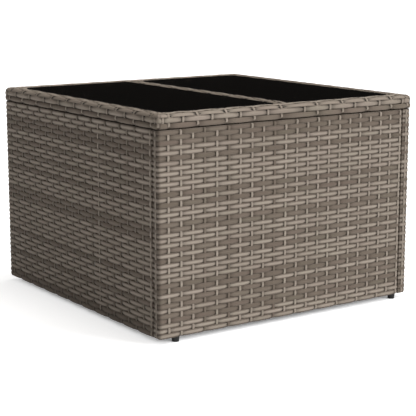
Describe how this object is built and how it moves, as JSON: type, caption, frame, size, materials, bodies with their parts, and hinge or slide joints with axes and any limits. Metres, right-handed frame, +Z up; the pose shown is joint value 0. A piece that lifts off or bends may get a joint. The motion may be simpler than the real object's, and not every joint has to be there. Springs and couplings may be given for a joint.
{
  "type": "wicker coffee table",
  "caption": "Square coffee table with flat woven resin walls on a steel tube frame, a woven rim with a centre bar, and lift-out dark glass panes.",
  "frame": {"origin": "centre of the base on the floor", "axes": "+Z up, -Y the front wall, +X to the right seen from the front; the centre bar runs along Y"},
  "size_m": [0.55, 0.55, 0.38],
  "materials": {
    "wall_weave": "flat resin strands in light and dark greige",
    "rim_weave": "flat resin strands in light and dark greige",
    "dark_glass": "polished, smoked",
    "foot_plastic": "moulded",
    "pad_rubber": "soft",
    "spacer_plastic": "moulded",
    "zinc_steel": "zinc plated",
    "black_steel": "satin powder coat"
  },
  "bodies": {
    "table": {"back_bottom_rail": "black_steel", "back_corner_post": "black_steel", "back_edge_wraps": "wall_weave", "back_end_post": "black_steel", "back_left_foot": "foot_plastic", "back_middle_stile": "black_steel", "back_right_foot": "foot_plastic", "back_rim_tube": "black_steel", "back_rim_wrap": "rim_weave", "back_top_rail": "black_steel", "back_weave": "wall_weave", "centre_bar_tube": "black_steel", "centre_bar_wrap": "rim_weave", "corner_bolts": "zinc_steel", "corner_inserts": "zinc_steel", "corner_washers": "zinc_steel", "front_bottom_rail": "black_steel", "front_corner_post": "black_steel", "front_edge_wraps": "wall_weave", "front_end_post": "black_steel", "front_left_foot": "foot_plastic", "front_middle_stile": "black_steel", "front_right_foot": "foot_plastic", "front_rim_tube": "black_steel", "front_rim_wrap": "rim_weave", "front_top_rail": "black_steel", "front_weave": "wall_weave", "left_bottom_rail": "black_steel", "left_corner_post": "black_steel", "left_edge_wraps": "wall_weave", "left_end_post": "black_steel", "left_middle_stile": "black_steel", "left_rim_tube": "black_steel", "left_rim_wrap": "rim_weave", "left_top_rail": "black_steel", "left_weave": "wall_weave", "pane_pads": "pad_rubber", "pane_tabs": "black_steel", "right_bottom_rail": "black_steel", "right_corner_post": "black_steel", "right_edge_wraps": "wall_weave", "right_end_post": "black_steel", "right_middle_stile": "black_steel", "right_rim_tube": "black_steel", "right_rim_wrap": "rim_weave", "right_top_rail": "black_steel", "right_weave": "wall_weave", "top_bolts": "zinc_steel", "top_inserts": "zinc_steel", "top_spacers": "spacer_plastic", "top_washers": "zinc_steel"},
    "left_pane": {"left_pane": "dark_glass"},
    "right_pane": {"right_pane": "dark_glass"}
  },
  "joints": [
    {"name": "left_pane_lift", "type": "slide", "parent": "table", "child": "left_pane", "axis": [0, 0, 1], "range_m": [0, 0.1]},
    {"name": "right_pane_lift", "type": "slide", "parent": "table", "child": "right_pane", "axis": [0, 0, 1], "range_m": [0, 0.1]}
  ]
}
